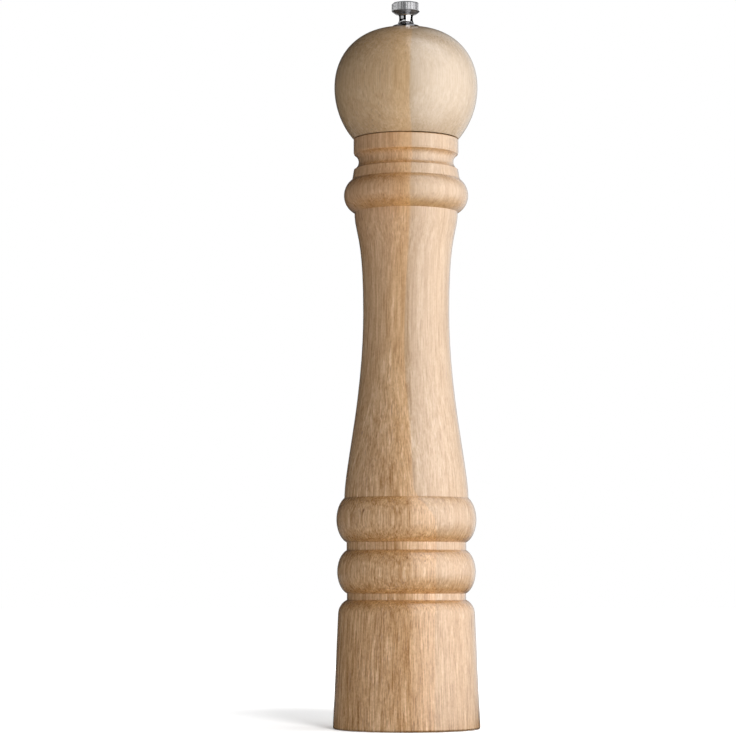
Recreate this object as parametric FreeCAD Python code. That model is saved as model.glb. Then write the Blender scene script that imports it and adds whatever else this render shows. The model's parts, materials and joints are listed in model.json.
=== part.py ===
import FreeCAD, Part
import math
import os

# Pepper mill: a turned wooden body and ball head on one square drive shaft, a knob on top that sets the
# grind, and a steel grinding mechanism in the base. Millimetres, +Z up, origin at the centre of the foot.
# Unless a name says otherwise, a height is measured along Z and a round is a radius.

# Clearances
SEAM_GAP = 0.3
TENON_CLEARANCE = 0.35
SLIDE_FIT = 0.1
RUNNING_FIT = 0.06
SEAT_GAP = 0.05
SCREW_FIT = 0.05

# Body, outside, from the foot upwards
FOOT_DIAMETER = 71.0
FOOT_EDGE_ROUND = 1.0
BASE_HEIGHT = 62.0
BASE_TOP_DIAMETER = 66.1
BASE_SHOULDER_ROUND = 7.9
LOW_GROOVE_DIAMETER = 57.5
LOW_GROOVE_HEIGHT = 3.0
LOW_BEAD_DIAMETER = 66.9
LOW_BEAD_HALF_HEIGHT = 11.1
MID_GROOVE_DIAMETER = 57.8
MID_GROOVE_HEIGHT = 3.7
MID_BEAD_DIAMETER = 67.7
MID_BEAD_HALF_HEIGHT = 11.75
BEAD_SETBACK = 2.3
COLUMN_FOOT_DIAMETER = 60.0
COLUMN_FOOT_REACH = 14.9
LOWER_COLUMN_HEIGHT = 89.85
LOWER_WAIST_REACH = 40.9
WAIST_DIAMETER = 41.85
UPPER_COLUMN_HEIGHT = 49.2
UPPER_WAIST_REACH = 39.4
COLUMN_HEAD_REACH = 10.6
COLUMN_HEAD_DIAMETER = 50.3
TOP_BEAD_DIAMETER = 60.6
TOP_BEAD_HALF_HEIGHT = 9.4
TOP_BEAD_SETBACK = 4.1
NECK_RING_DIAMETER = 52.6
NECK_RING_HEIGHT = 4.9
NECK_RING_TAPER = 0.85
NECK_COVE_DIAMETER = 46.3
NECK_COVE_HEIGHT = 7.55
NECK_EDGE_BEVEL = 0.3
NECK_EDGE_HEIGHT = 1.0
NECK_DIAMETER = 51.2
NECK_HEIGHT = 7.4
SEAM_EDGE_ROUND = 0.5

# Body, inside
HOPPER_DIAMETER = 27.0
MOUTH_LEDGE = 1.5
MOUTH_FLOOR_GAP = 3.0
MECHANISM_LEDGE = 6.5
RECESS_LEDGE = 7.0
RECESS_DEPTH = 10.0
RECESS_RIM_BEVEL = 0.8

# Head, whose side stands in from the foot's edge by the inset
HEAD_INSET = 0.5
HEAD_LOWER_AXIS = 37.4
HEAD_RISE = 29.0
HEAD_SIDE_REACH = 18.1
HEAD_CROWN_REACH = 15.0
TENON_LENGTH = 13.5
SHAFT_HOLE_DIAMETER = 10.0

# Drive plate under the tenon, and its two screws
DRIVE_PLATE_MARGIN = 1.6
DRIVE_PLATE_THICKNESS = 1.5
DRIVE_PLATE_SCREW_COUNT = 2
DRIVE_PLATE_SCREW_DIAMETER = 2.5
DRIVE_PLATE_SCREW_LENGTH = 9.0
DRIVE_PLATE_SCREW_HEAD_DIAMETER = 4.6
DRIVE_PLATE_SCREW_HEAD_HEIGHT = 1.4

# Bush and washer at the top of the head
HEAD_BUSH_LENGTH = 6.0
HEAD_BUSH_FLANGE_DIAMETER = 11.6
HEAD_BUSH_FLANGE_THICKNESS = 0.8
KNOB_WASHER_THICKNESS = 0.5

# Knob
KNOB_DIAMETER = 13.9
KNOB_BASE_DIAMETER = 13.0
KNOB_FOOT_HEIGHT = 0.9
KNOB_FLARE_HEIGHT = 3.7
KNOB_FLARE_TURN = 0.8
KNOB_NECK_DIAMETER = 6.8
KNOB_NECK_HEIGHT = 0.3
KNOB_UNDERSIDE_DIAMETER = 10.4
KNOB_UNDERSIDE_HEIGHT = 2.0
KNOB_CHAMFER_HEIGHT = 1.3
KNOB_GRIP_HEIGHT = 3.4
KNOB_TOP_BEVEL = 0.6
KNOB_CROWN = 0.4
KNURL_COUNT = 56
KNURL_DEPTH = 0.32

# Drive shaft
SHAFT_SIDE = 6.0
SHAFT_CORNER_CUT = 0.5
THREAD_DIAMETER = 5.0
THREAD_PITCH = 0.8
THREAD_DEPTH = 0.45
THREAD_CREST = 0.15
THREAD_RUNOUT = 1.2
THREAD_ENGAGEMENT = 7.2
TOP_ROOM = 1.2
SHOULDER_ROOM = 1.4
ADJUST_UP = 0.4
ADJUST_DOWN = 1.6

# Housing in the base, and its screws
FLANGE_THICKNESS = 2.4
FLANGE_CLEARANCE = 0.4
HOUSING_HEIGHT = 30.0
HOUSING_WALL = 2.4
HOUSING_FIT = 0.1
STATOR_LIP = 1.9
STATOR_LIP_HEIGHT = 1.6
HOUSING_SCREW_COUNT = 3
HOUSING_SCREW_DIAMETER = 2.8
HOUSING_SCREW_LENGTH = 13.0
HOUSING_SCREW_HEAD_DIAMETER = 5.2
HOUSING_SCREW_HEAD_HEIGHT = 1.8

# Clip that holds the stator up in the housing
CLIP_LIP = 0.9
CLIP_THICKNESS = 1.2
CLIP_GROOVE_DEPTH = 0.8
CLIP_WIDTH = 2.4
CLIP_OPENING = 60.0

# Grinding pair: the rotor and the stator around it
STATOR_HEIGHT = 15.0
STATOR_MOUTH_DIAMETER = 30.0
ROTOR_DIAMETER = 27.0
ROTOR_TOP_DIAMETER = 16.0
ROTOR_HEIGHT = 17.0
ROTOR_DROP = 0.5
GRIND_HEIGHT = 6.0
GRIND_ANGLE = 20.0
GRIND_GAP = 0.5
FINE_TEETH = 24
FINE_TOOTH_DEPTH = 0.9
FINE_TOOTH_TWIST = 9.0
CRACKING_FLUTES = 6
CRACKING_FLUTE_DEPTH = 2.0
CRACKING_FLUTE_WIDTH = 4.6
CRACKING_FLUTE_TWIST = 38.0
STATOR_FLUTES = 12
STATOR_FLUTE_DEPTH = 1.3
STATOR_FLUTE_TWIST = -14.0
TOOTH_OVERCUT = 0.6

# Rotor screw and washer under the shaft's end
ROTOR_WASHER_DIAMETER = 12.0
ROTOR_WASHER_THICKNESS = 1.2
ROTOR_SCREW_DIAMETER = 3.0
ROTOR_SCREW_LENGTH = 10.0
ROTOR_SCREW_HEAD_DIAMETER = 6.0
ROTOR_SCREW_HEAD_HEIGHT = 2.2
SCREW_SLOT_WIDTH = 0.8
SCREW_SLOT_DEPTH = 0.8

# Bridge over the housing, the bush that turns in it, the spring below and the clip above
BRIDGE_THICKNESS = 2.0
BRIDGE_SPOKES = 3
BRIDGE_SPOKE_WIDTH = 5.0
BRIDGE_HUB_WALL = 2.6
BRIDGE_HUB_HEIGHT = 4.0
GUIDE_BUSH_WALL = 1.2
GUIDE_BUSH_FLANGE = 1.9
GUIDE_BUSH_FLANGE_THICKNESS = 1.2
GUIDE_BUSH_STANDOUT = 0.6
SPRING_WIRE = 1.0
SPRING_TURNS = 6
SPRING_SHAFT_GAP = 0.9
SPRING_CUP_FLOOR = 0.8
SPRING_CUP_RIM_HEIGHT = 1.2
SPRING_CUP_RIM = 0.8
SHAFT_CLIP_DIAMETER = 12.0
SHAFT_CLIP_THICKNESS = 0.8
SHAFT_CLIP_GROOVE_DIAMETER = 4.8
SHAFT_CLIP_SLOT = 4.4
SHAFT_CLIP_MARGIN = 0.5


def at(r, z):
    """The point at a radius and a height in the plane of the outlines."""
    return FreeCAD.Vector(r, 0, z)


class Outline:
    """A closed outline in radius and height, drawn from point to point and turned about the Z axis."""

    def __init__(self, r, z):
        self.first = at(r, z)
        self.point = self.first
        self.before = None
        self.edges = []

    def line(self, r, z, corner=0.0):
        """A straight edge. A corner rounds the point that it starts from, against the straight edge before."""
        end = at(r, z)
        start = self.point
        if corner:
            back = (self.before - start).normalize()
            ahead = (end - start).normalize()
            half = back.getAngle(ahead) / 2
            reach = corner / math.tan(half)
            middle = start + (back + ahead).normalize() * (corner / math.sin(half) - corner)
            self.edges[-1] = Part.LineSegment(self.before, start + back * reach).toShape()
            self.edges.append(Part.Arc(start + back * reach, middle, start + ahead * reach).toShape())
            start = start + ahead * reach
        if start.distanceToPoint(end) > 1e-6:
            self.edges.append(Part.LineSegment(start, end).toShape())
        self.before, self.point = start, end
        return self

    def arc(self, middle_r, middle_z, r, z):
        """A round edge through a middle point."""
        self.edges.append(Part.Arc(self.point, at(middle_r, middle_z), at(r, z)).toShape())
        self.before, self.point = self.point, at(r, z)
        return self

    def oval(self, centre_r, centre_z, half_width, half_height, start, end):
        """A stretch of an ellipse between two angles in radians, counted from the outward radius."""
        centre = at(centre_r, centre_z)
        side = centre + at(half_width, 0)
        top = centre + at(0, half_height)
        if half_width >= half_height:
            ellipse, low, high = Part.Ellipse(side, top, centre), start, end
        else:
            ellipse, low, high = Part.Ellipse(top, side, centre), math.pi / 2 - end, math.pi / 2 - start
        self.edges.append(Part.ArcOfEllipse(ellipse, low, high).toShape())
        self.before = self.point
        self.point = at(centre_r + half_width * math.cos(end), centre_z + half_height * math.sin(end))
        return self

    def curve(self, *points):
        """A smooth edge that leaves along its first control point and arrives along its last but one."""
        bezier = Part.BezierCurve()
        bezier.setPoles([self.point] + [at(r, z) for r, z in points])
        self.edges.append(bezier.toShape())
        self.before, self.point = self.point, at(*points[-1])
        return self

    def turned(self):
        """The solid of revolution."""
        self.line(self.first.x, self.first.z)
        face = Part.Face(Part.Wire(Part.__sortEdges__(self.edges)))
        return face.revolve(at(0, 0), FreeCAD.Vector(0, 0, 1), 360)


def disc(radius, bottom, top):
    """A plain cylinder on the Z axis."""
    return Part.makeCylinder(radius, top - bottom, at(0, bottom))


def ring(inner, outer, bottom, top):
    """A plain tube on the Z axis."""
    return disc(outer, bottom, top).cut(disc(inner, bottom, top))


def square_bar(side, corner_cut, bottom, top):
    """A square bar on the Z axis with its four long edges cut off."""
    half = side / 2
    corners = []
    for x, y in ((1, 1), (-1, 1), (-1, -1), (1, -1)):
        across = FreeCAD.Vector(x * (half - corner_cut), y * half, bottom)
        along = FreeCAD.Vector(x * half, y * (half - corner_cut), bottom)
        corners += [along, across] if x == y else [across, along]
    face = Part.Face(Part.makePolygon(corners + corners[:1]))
    return face.extrude(at(0, top - bottom))


def around(shape, count, start=0.0):
    """Copies of a shape, evenly spaced about the Z axis."""
    copies = []
    for i in range(count):
        copy = shape.copy()
        copy.rotate(at(0, 0), FreeCAD.Vector(0, 0, 1), start + 360.0 * i / count)
        copies.append(copy)
    return copies


def tooth_gap(lower, upper, depth, width, twist):
    """A three-sided cutter along a cone, between two points in radius and height. It bites towards the axis
    where depth is positive, and away from it where depth is negative."""
    over = math.copysign(TOOTH_OVERCUT, depth)
    ends = []
    for (r, z), turn in ((lower, -twist / 2), (upper, twist / 2)):
        half = width / 2
        corners = [
            FreeCAD.Vector(r - depth, 0, z),
            FreeCAD.Vector(r + over, half, z),
            FreeCAD.Vector(r + over, -half, z),
        ]
        wire = Part.makePolygon(corners + corners[:1])
        wire.rotate(at(0, 0), FreeCAD.Vector(0, 0, 1), turn)
        ends.append(wire)
    return Part.makeLoft(ends, True, True)


def biarc(start, start_way, end, end_way):
    """Two arcs that join two points and leave and arrive along the given unit directions."""
    gap = end - start
    ways = start_way + end_way
    square = 2 * (1 - start_way.dot(end_way))
    along = gap.dot(ways)
    reach = (-along + math.sqrt(along * along + square * gap.dot(gap))) / square
    first_corner = start + start_way * reach
    last_corner = end - end_way * reach
    join = (first_corner + last_corner) * 0.5
    arcs = []
    for a, corner, b in ((start, first_corner, join), (join, last_corner, end)):
        chord_middle = (a + b) * 0.5
        half = (b - a).Length / 2
        rise = (corner - chord_middle).Length
        leg = math.hypot(half, rise)
        sagitta = half * (leg - half) / rise
        arcs.append(Part.Arc(a, chord_middle + (corner - chord_middle) * (sagitta / rise), b).toShape())
    return arcs


def helix(radius, bottom, pitch, quarters):
    """A rising helix about the Z axis as a wire of arcs, one pair to each quarter turn, and its first way."""
    points = []
    ways = []
    for i in range(quarters + 1):
        angle = math.pi / 2 * i
        x = radius * math.cos(angle)
        y = radius * math.sin(angle)
        points.append(FreeCAD.Vector(x, y, bottom + pitch * i / 4))
        ways.append(FreeCAD.Vector(-y, x, pitch / (2 * math.pi)).normalize())
    arcs = []
    for i in range(quarters):
        arcs += biarc(points[i], ways[i], points[i + 1], ways[i + 1])
    return Part.Wire(arcs), points[0], ways[0]


def bead(centre_r, radius, half_height, bottom_r, top_r):
    """How far an oval bead reaches below and above its own centre, and the angles at which it stops."""
    half_width = radius - centre_r
    low = -math.acos((bottom_r - centre_r) / half_width)
    high = math.acos((top_r - centre_r) / half_width)
    return half_width, low, high, -half_height * math.sin(low), half_height * math.sin(high)


# Radii that follow from the driving dimensions
foot_r = FOOT_DIAMETER / 2
base_top_r = BASE_TOP_DIAMETER / 2
low_groove_r = LOW_GROOVE_DIAMETER / 2
mid_groove_r = MID_GROOVE_DIAMETER / 2
column_foot_r = COLUMN_FOOT_DIAMETER / 2
waist_r = WAIST_DIAMETER / 2
column_head_r = COLUMN_HEAD_DIAMETER / 2
neck_ring_r = NECK_RING_DIAMETER / 2
neck_cove_r = NECK_COVE_DIAMETER / 2
neck_r = NECK_DIAMETER / 2
hopper_r = HOPPER_DIAMETER / 2
mouth_r = hopper_r + MOUTH_LEDGE
mechanism_r = hopper_r + MECHANISM_LEDGE
recess_r = mechanism_r + RECESS_LEDGE
head_r = foot_r - HEAD_INSET
shaft_hole_r = SHAFT_HOLE_DIAMETER / 2
tenon_r = mouth_r - TENON_CLEARANCE
drive_plate_r = tenon_r - DRIVE_PLATE_MARGIN
housing_r = mechanism_r - HOUSING_FIT
housing_bore_r = housing_r - HOUSING_WALL
stator_r = housing_bore_r - SEAT_GAP
flange_r = recess_r - FLANGE_CLEARANCE
thread_r = THREAD_DIAMETER / 2
shaft_corner_r = math.hypot(SHAFT_SIDE / 2, SHAFT_SIDE / 2 - SHAFT_CORNER_CUT)
guide_bush_r = shaft_corner_r + SLIDE_FIT + GUIDE_BUSH_WALL
guide_flange_r = guide_bush_r + GUIDE_BUSH_FLANGE
bridge_hub_bore_r = guide_bush_r + RUNNING_FIT
spring_r = shaft_corner_r + SPRING_SHAFT_GAP + SPRING_WIRE / 2

# Heights of the body's outside, worked upwards from the foot
shoulder_angle = math.acos((low_groove_r - (base_top_r - BASE_SHOULDER_ROUND)) / BASE_SHOULDER_ROUND)
shoulder_z = BASE_HEIGHT - BASE_SHOULDER_ROUND * math.sin(shoulder_angle)
low_bead_z = BASE_HEIGHT + LOW_GROOVE_HEIGHT
low_bead_centre_r = low_groove_r - BEAD_SETBACK
low_bead = bead(low_bead_centre_r, LOW_BEAD_DIAMETER / 2, LOW_BEAD_HALF_HEIGHT, low_groove_r, mid_groove_r)
mid_groove_z = low_bead_z + low_bead[3] + low_bead[4]
mid_bead_z = mid_groove_z + MID_GROOVE_HEIGHT
mid_bead_centre_r = mid_groove_r - BEAD_SETBACK
mid_bead = bead(mid_bead_centre_r, MID_BEAD_DIAMETER / 2, MID_BEAD_HALF_HEIGHT, mid_groove_r, column_foot_r)
column_z = mid_bead_z + mid_bead[3] + mid_bead[4]
waist_z = column_z + LOWER_COLUMN_HEIGHT
top_bead_z = waist_z + UPPER_COLUMN_HEIGHT
top_bead_centre_r = column_head_r - TOP_BEAD_SETBACK
top_bead = bead(top_bead_centre_r, TOP_BEAD_DIAMETER / 2, TOP_BEAD_HALF_HEIGHT, column_head_r, neck_ring_r)
neck_ring_z = top_bead_z + top_bead[3] + top_bead[4]
neck_cove_z = neck_ring_z + NECK_RING_HEIGHT
neck_z = neck_cove_z + NECK_COVE_HEIGHT
body_top_z = neck_z + NECK_HEIGHT

# Heights inside the base
flange_z = RECESS_DEPTH - FLANGE_THICKNESS
housing_top_z = RECESS_DEPTH + HOUSING_HEIGHT
bridge_top_z = housing_top_z + BRIDGE_THICKNESS
mechanism_top_z = bridge_top_z + SLIDE_FIT
hub_top_z = housing_top_z + BRIDGE_HUB_HEIGHT
clip_z = flange_z + CLIP_LIP
stator_z = clip_z + CLIP_THICKNESS + SEAT_GAP
stator_top_z = stator_z + STATOR_HEIGHT
rotor_z = stator_z - ROTOR_DROP
rotor_top_z = rotor_z + ROTOR_HEIGHT
throat_z = rotor_z + GRIND_HEIGHT
spring_cup_z = rotor_top_z + SEAT_GAP
spring_bottom_z = spring_cup_z + SPRING_CUP_FLOOR
guide_flange_top_z = housing_top_z - SEAT_GAP
guide_flange_z = guide_flange_top_z - GUIDE_BUSH_FLANGE_THICKNESS
guide_bush_top_z = hub_top_z + GUIDE_BUSH_STANDOUT
shaft_clip_z = guide_bush_top_z + ADJUST_DOWN + SHAFT_CLIP_MARGIN

# Heights in the head and the knob
head_z = body_top_z + SEAM_GAP
tenon_z = head_z - TENON_LENGTH
drive_plate_z = tenon_z - DRIVE_PLATE_THICKNESS
mouth_z = drive_plate_z - MOUTH_FLOOR_GAP
equator_z = head_z + HEAD_LOWER_AXIS * math.sqrt(1 - (neck_r / head_r) ** 2)
knob_base_r = KNOB_BASE_DIAMETER / 2
head_top_z = equator_z + HEAD_RISE
head_bush_top_z = head_top_z - SEAT_GAP
knob_washer_top_z = head_bush_top_z + SEAT_GAP + KNOB_WASHER_THICKNESS
knob_z = knob_washer_top_z + SEAT_GAP
thread_top_z = knob_z + THREAD_ENGAGEMENT
square_top_z = head_bush_top_z - HEAD_BUSH_LENGTH - SHOULDER_ROOM


def body():
    """The turned body: foot, two beads, waisted column, top bead and neck, bored through from end to end."""
    cove_z = neck_cove_z + NECK_COVE_HEIGHT / 2
    shoulder_r = base_top_r - BASE_SHOULDER_ROUND
    outline = Outline(recess_r + RECESS_RIM_BEVEL, 0)
    outline.line(foot_r, 0)
    outline.line(base_top_r, shoulder_z, corner=FOOT_EDGE_ROUND)
    outline.arc(
        shoulder_r + BASE_SHOULDER_ROUND * math.cos(shoulder_angle / 2),
        shoulder_z + BASE_SHOULDER_ROUND * math.sin(shoulder_angle / 2),
        low_groove_r,
        BASE_HEIGHT,
    )
    outline.line(low_groove_r, low_bead_z)
    width, low, high, below, above = low_bead
    outline.oval(low_bead_centre_r, low_bead_z + below, width, LOW_BEAD_HALF_HEIGHT, low, high)
    outline.line(mid_groove_r, mid_bead_z)
    width, low, high, below, above = mid_bead
    outline.oval(mid_bead_centre_r, mid_bead_z + below, width, MID_BEAD_HALF_HEIGHT, low, high)
    outline.curve(
        (column_foot_r, column_z + COLUMN_FOOT_REACH),
        (waist_r, waist_z - LOWER_WAIST_REACH),
        (waist_r, waist_z),
    )
    outline.curve(
        (waist_r, waist_z + UPPER_WAIST_REACH),
        (column_head_r, top_bead_z - COLUMN_HEAD_REACH),
        (column_head_r, top_bead_z),
    )
    width, low, high, below, above = top_bead
    outline.oval(top_bead_centre_r, top_bead_z + below, width, TOP_BEAD_HALF_HEIGHT, low, high)
    outline.line(neck_ring_r - NECK_RING_TAPER, neck_cove_z)
    outline.arc(neck_cove_r, cove_z, neck_r - NECK_EDGE_BEVEL, neck_z)
    outline.line(neck_r, neck_z + NECK_EDGE_HEIGHT)
    outline.line(neck_r, body_top_z)
    outline.line(mouth_r, body_top_z, corner=SEAM_EDGE_ROUND)
    outline.line(mouth_r, mouth_z, corner=SEAM_EDGE_ROUND)
    outline.line(hopper_r, mouth_z)
    outline.line(hopper_r, mechanism_top_z)
    outline.line(mechanism_r, mechanism_top_z)
    outline.line(mechanism_r, RECESS_DEPTH)
    outline.line(recess_r, RECESS_DEPTH)
    outline.line(recess_r, RECESS_RIM_BEVEL)
    turned = outline.turned()
    pilot_r = HOUSING_SCREW_DIAMETER / 2 + SCREW_FIT
    pilot_top = flange_z + HOUSING_SCREW_LENGTH + SCREW_FIT
    pilot = Part.makeCylinder(pilot_r, pilot_top - flange_z, at(housing_screw_circle(), flange_z))
    return turned.cut(around(pilot, HOUSING_SCREW_COUNT))


def housing_screw_circle():
    """The radius at which the housing's screws stand, midway across the recess's ledge."""
    return (mechanism_r + flange_r) / 2


def drive_plate_screw_circle():
    """The radius at which the drive plate's screws stand, midway between the shaft's hole and the rim."""
    return (shaft_hole_r + drive_plate_r) / 2


def head():
    """The ball head with its tenon, its shaft hole, and the pockets for the bush and the washer on top."""
    seam_angle = -math.acos(neck_r / head_r)
    flange_pocket_r = HEAD_BUSH_FLANGE_DIAMETER / 2 + SEAT_GAP
    flange_pocket_z = head_bush_top_z - HEAD_BUSH_FLANGE_THICKNESS - SEAT_GAP
    outline = Outline(shaft_hole_r, tenon_z)
    outline.line(tenon_r, tenon_z)
    outline.line(tenon_r, head_z, corner=SEAM_EDGE_ROUND)
    outline.line(neck_r, head_z)
    outline.oval(0, equator_z, head_r, HEAD_LOWER_AXIS, seam_angle, 0)
    outline.curve(
        (head_r, equator_z + HEAD_SIDE_REACH),
        (knob_base_r + HEAD_CROWN_REACH, head_top_z),
        (knob_base_r, head_top_z),
    )
    outline.line(flange_pocket_r, head_top_z)
    outline.line(flange_pocket_r, flange_pocket_z)
    outline.line(shaft_hole_r, flange_pocket_z)
    turned = outline.turned()
    pilot_r = DRIVE_PLATE_SCREW_DIAMETER / 2 + SCREW_FIT
    pilot_height = DRIVE_PLATE_SCREW_LENGTH - DRIVE_PLATE_THICKNESS + SCREW_FIT
    pilot = Part.makeCylinder(pilot_r, pilot_height, at(drive_plate_screw_circle(), tenon_z))
    return turned.cut(around(pilot, DRIVE_PLATE_SCREW_COUNT))


def head_bush():
    """The flanged bush that keeps the shaft's thread central at the top of the head."""
    bore_r = thread_r + SLIDE_FIT
    barrel_r = shaft_hole_r - SEAT_GAP
    flange_bottom_z = head_bush_top_z - HEAD_BUSH_FLANGE_THICKNESS
    outline = Outline(bore_r, head_bush_top_z - HEAD_BUSH_LENGTH)
    outline.line(barrel_r, head_bush_top_z - HEAD_BUSH_LENGTH)
    outline.line(barrel_r, flange_bottom_z)
    outline.line(HEAD_BUSH_FLANGE_DIAMETER / 2, flange_bottom_z)
    outline.line(HEAD_BUSH_FLANGE_DIAMETER / 2, head_bush_top_z)
    outline.line(bore_r, head_bush_top_z)
    return outline.turned()


def knob_washer():
    """The thin washer that the knob turns on."""
    washer_r = HEAD_BUSH_FLANGE_DIAMETER / 2
    return ring(thread_r + SLIDE_FIT, washer_r, knob_z - SEAT_GAP - KNOB_WASHER_THICKNESS, knob_z - SEAT_GAP)


def drive_plate():
    """The plate under the tenon, whose square hole turns the shaft."""
    plate = disc(drive_plate_r, drive_plate_z, tenon_z)
    hole = square_bar(SHAFT_SIDE + 2 * SLIDE_FIT, SHAFT_CORNER_CUT, drive_plate_z, tenon_z)
    screw_hole_r = DRIVE_PLATE_SCREW_DIAMETER / 2 + SCREW_FIT
    screw_hole = Part.makeCylinder(
        screw_hole_r, DRIVE_PLATE_THICKNESS, at(drive_plate_screw_circle(), drive_plate_z)
    )
    return plate.cut([hole] + around(screw_hole, DRIVE_PLATE_SCREW_COUNT))


def slotted_screw(diameter, length, head_diameter, head_height, seat_z, circle_r):
    """A slotted screw that points up, with its head below the seat and a blunt cone at its tip."""
    shank_r = diameter / 2
    outline = Outline(0, seat_z - head_height)
    outline.line(head_diameter / 2, seat_z - head_height)
    outline.line(head_diameter / 2, seat_z, corner=head_height / 3)
    outline.line(shank_r, seat_z)
    outline.line(shank_r, seat_z + length - shank_r)
    outline.line(shank_r / 2, seat_z + length)
    outline.line(0, seat_z + length)
    slot = Part.makeBox(
        head_diameter,
        SCREW_SLOT_WIDTH,
        SCREW_SLOT_DEPTH,
        FreeCAD.Vector(-head_diameter / 2, -SCREW_SLOT_WIDTH / 2, seat_z - head_height),
    )
    screw = outline.turned().cut(slot)
    screw.translate(at(circle_r, 0))
    return screw


def drive_plate_screws():
    """The wood screws that hold the drive plate to the tenon."""
    screw = slotted_screw(
        DRIVE_PLATE_SCREW_DIAMETER,
        DRIVE_PLATE_SCREW_LENGTH,
        DRIVE_PLATE_SCREW_HEAD_DIAMETER,
        DRIVE_PLATE_SCREW_HEAD_HEIGHT,
        drive_plate_z,
        drive_plate_screw_circle(),
    )
    return Part.makeCompound(around(screw, DRIVE_PLATE_SCREW_COUNT))


def knob():
    """The knurled knob: a flared foot, a waisted neck and a grip with straight knurls and a low crown."""
    grip_r = KNOB_DIAMETER / 2
    neck_radius = KNOB_NECK_DIAMETER / 2
    underside_r = KNOB_UNDERSIDE_DIAMETER / 2
    flare_z = knob_z + KNOB_FOOT_HEIGHT
    neck_bottom_z = flare_z + KNOB_FLARE_HEIGHT
    neck_top_z = neck_bottom_z + KNOB_NECK_HEIGHT
    underside_z = neck_top_z + KNOB_UNDERSIDE_HEIGHT
    grip_z = underside_z + KNOB_CHAMFER_HEIGHT
    grip_top_z = grip_z + KNOB_GRIP_HEIGHT
    bevel_r = grip_r - KNOB_TOP_BEVEL
    bevel_z = grip_top_z + KNOB_TOP_BEVEL
    bore_r = thread_r + RUNNING_FIT
    bore_top_z = thread_top_z + ADJUST_UP + TOP_ROOM
    outline = Outline(bore_r, knob_z)
    outline.line(knob_base_r, knob_z)
    outline.line(knob_base_r, flare_z)
    outline.curve((neck_radius, flare_z + KNOB_FLARE_TURN), (neck_radius, neck_bottom_z))
    outline.line(neck_radius, neck_top_z)
    outline.curve((neck_radius, underside_z), (underside_r, underside_z))
    outline.line(grip_r, grip_z)
    outline.line(grip_r, grip_top_z)
    outline.line(bevel_r, bevel_z)
    outline.curve((bevel_r / 2, bevel_z + KNOB_CROWN), (0, bevel_z + KNOB_CROWN))
    outline.line(0, bore_top_z)
    outline.line(bore_r, bore_top_z)
    cutter_r = KNURL_DEPTH
    knurl = Part.makeCylinder(
        cutter_r, grip_top_z + 2 * KNOB_TOP_BEVEL - grip_z + KNOB_CHAMFER_HEIGHT,
        at(grip_r + cutter_r / 4, grip_z - KNOB_CHAMFER_HEIGHT / 2)
    )
    return outline.turned().cut(around(knurl, KNURL_COUNT))


def drive_shaft():
    """The square shaft with its threaded top end, its clip groove and the screw hole in its foot."""
    bar = square_bar(SHAFT_SIDE, SHAFT_CORNER_CUT, rotor_z + SEAT_GAP, square_top_z)
    stud = Outline(0, square_top_z - THREAD_DIAMETER)
    stud.line(thread_r, square_top_z - THREAD_DIAMETER)
    stud.line(thread_r, thread_top_z - THREAD_DEPTH)
    stud.line(thread_r - THREAD_DEPTH, thread_top_z)
    stud.line(0, thread_top_z)
    groove_r = SHAFT_CLIP_GROOVE_DIAMETER / 2
    groove = ring(
        groove_r, 2 * shaft_corner_r, shaft_clip_z - SEAT_GAP, shaft_clip_z + SHAFT_CLIP_THICKNESS + SEAT_GAP
    )
    hole_r = ROTOR_SCREW_DIAMETER / 2 + SCREW_FIT
    hole_top_z = rotor_z - ROTOR_WASHER_THICKNESS + ROTOR_SCREW_LENGTH + SCREW_FIT
    return bar.fuse(stud.turned().cut(thread_groove())).cut([groove, disc(hole_r, rotor_z, hole_top_z)])


def thread_groove():
    """The helical groove between the turns of the shaft's thread, run out past its top."""
    bottom = square_top_z + THREAD_RUNOUT
    quarters = math.ceil(4 * (thread_top_z - bottom) / THREAD_PITCH) + 4
    path, start, way = helix(thread_r, bottom, THREAD_PITCH, quarters)
    half = (THREAD_PITCH - THREAD_CREST) / 2
    over = THREAD_CREST / 4
    rise = half * (1 + over / THREAD_DEPTH)
    corners = [
        at(thread_r - THREAD_DEPTH, bottom),
        at(thread_r + over, bottom + rise),
        at(thread_r + over, bottom - rise),
    ]
    return path.makePipeShell([Part.makePolygon(corners + corners[:1])], True, True)


def rotor():
    """The inner burr: a fine cone at the bottom with slanted teeth, and spiral cracking flutes above."""
    bottom_r = ROTOR_DIAMETER / 2
    throat_r = bottom_r - GRIND_HEIGHT * math.tan(math.radians(GRIND_ANGLE))
    top_r = ROTOR_TOP_DIAMETER / 2
    outline = Outline(0, rotor_z)
    outline.line(bottom_r, rotor_z)
    outline.line(throat_r, throat_z)
    outline.line(top_r, rotor_top_z)
    outline.line(0, rotor_top_z)
    fine_width = math.pi * throat_r / FINE_TEETH
    fine = tooth_gap(
        (bottom_r, rotor_z), (throat_r, throat_z), FINE_TOOTH_DEPTH, fine_width, FINE_TOOTH_TWIST
    )
    flute = tooth_gap(
        (throat_r, throat_z),
        (top_r, rotor_top_z),
        CRACKING_FLUTE_DEPTH,
        CRACKING_FLUTE_WIDTH,
        CRACKING_FLUTE_TWIST,
    )
    hole = square_bar(SHAFT_SIDE + 2 * SEAT_GAP, SHAFT_CORNER_CUT, rotor_z, rotor_top_z)
    cutters = around(fine, FINE_TEETH) + around(flute, CRACKING_FLUTES) + [hole]
    return outline.turned().cut(cutters)


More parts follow.
